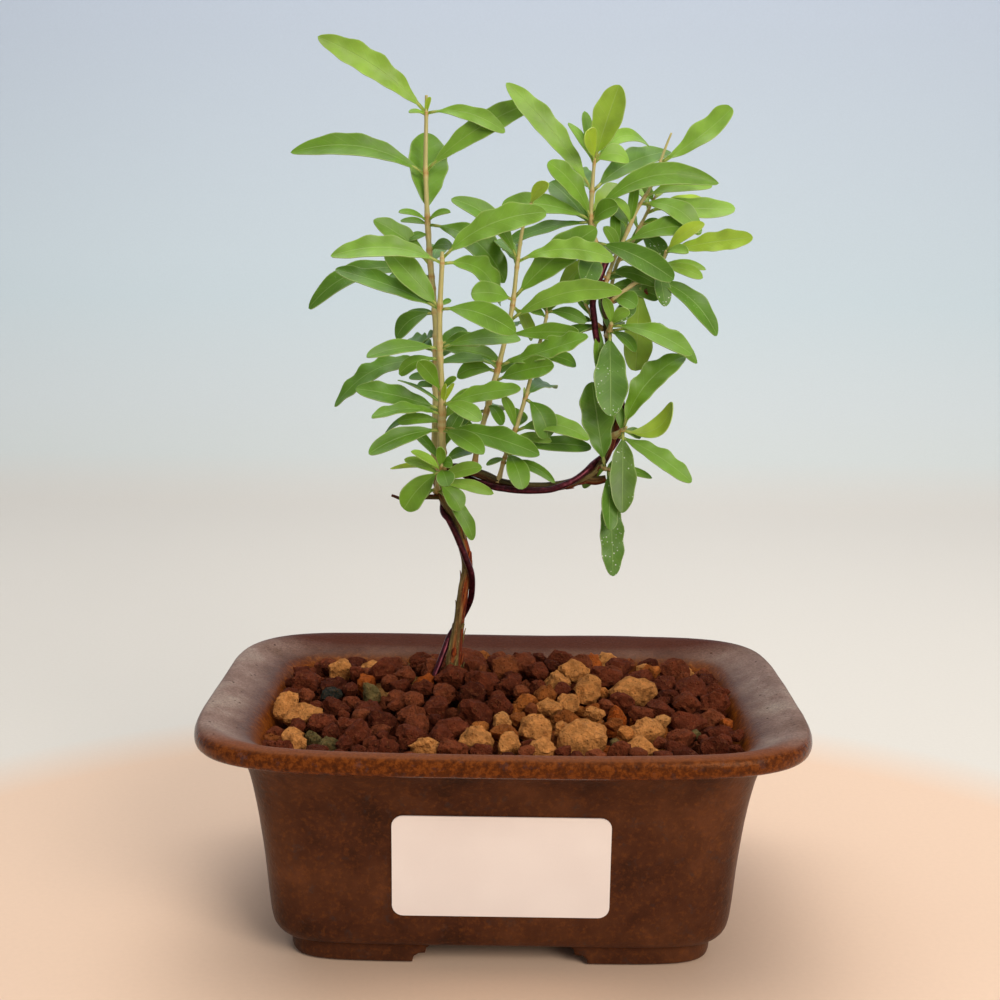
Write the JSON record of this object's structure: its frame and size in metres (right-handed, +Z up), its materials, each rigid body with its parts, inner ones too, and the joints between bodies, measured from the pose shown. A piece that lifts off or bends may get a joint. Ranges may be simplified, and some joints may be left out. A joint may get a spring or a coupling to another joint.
{
  "type": "pomegranate bonsai in a pot",
  "caption": "Young pomegranate bonsai: thin wired trunk, upright leafy stems and an arched side branch, in a soft-rectangular glazed brown pot with corner feet, filled with baked clay grains.",
  "frame": {"origin": "under the middle of the pot, on the surface that its feet rest on", "axes": "+Z up, the front of the pot with its label towards -Y, +X to the right seen from the front"},
  "size_m": [0.1438, 0.1106, 0.2164],
  "materials": {
    "glazed_clay": "thin brown glaze with rust and blue-grey mottling, glossy on the lip",
    "drain_mesh": "matte black",
    "label_paper": "smooth matte",
    "red_clay_grains": "rough, dry",
    "tan_clay_grains": "rough, dry",
    "bark": "thin peeling bark",
    "anodised_wire": "dark brown anodised, glossy",
    "leaves": "satin leaf"
  },
  "bodies": {
    "root": {"pot": "glazed_clay", "drain_mesh_left": "drain_mesh", "drain_mesh_right": "drain_mesh", "label": "label_paper", "soil_red_grains": "red_clay_grains", "soil_tan_grains": "tan_clay_grains", "trunk": "bark", "training_wire": "anodised_wire", "shoot_rear_left": "leaves", "shoot_front_left": "leaves", "shoot_fork": "leaves", "shoot_centre": "leaves", "shoot_centre_right": "leaves", "shoot_right_tall": "leaves", "shoot_right_leaning": "leaves", "shoot_right_slender": "leaves", "shoot_side_sprig": "leaves", "shoot_branch_left": "leaves", "shoot_branch_middle": "leaves", "shoot_branch_low": "leaves", "shoot_branch_bend": "leaves"}
  },
  "joints": []
}
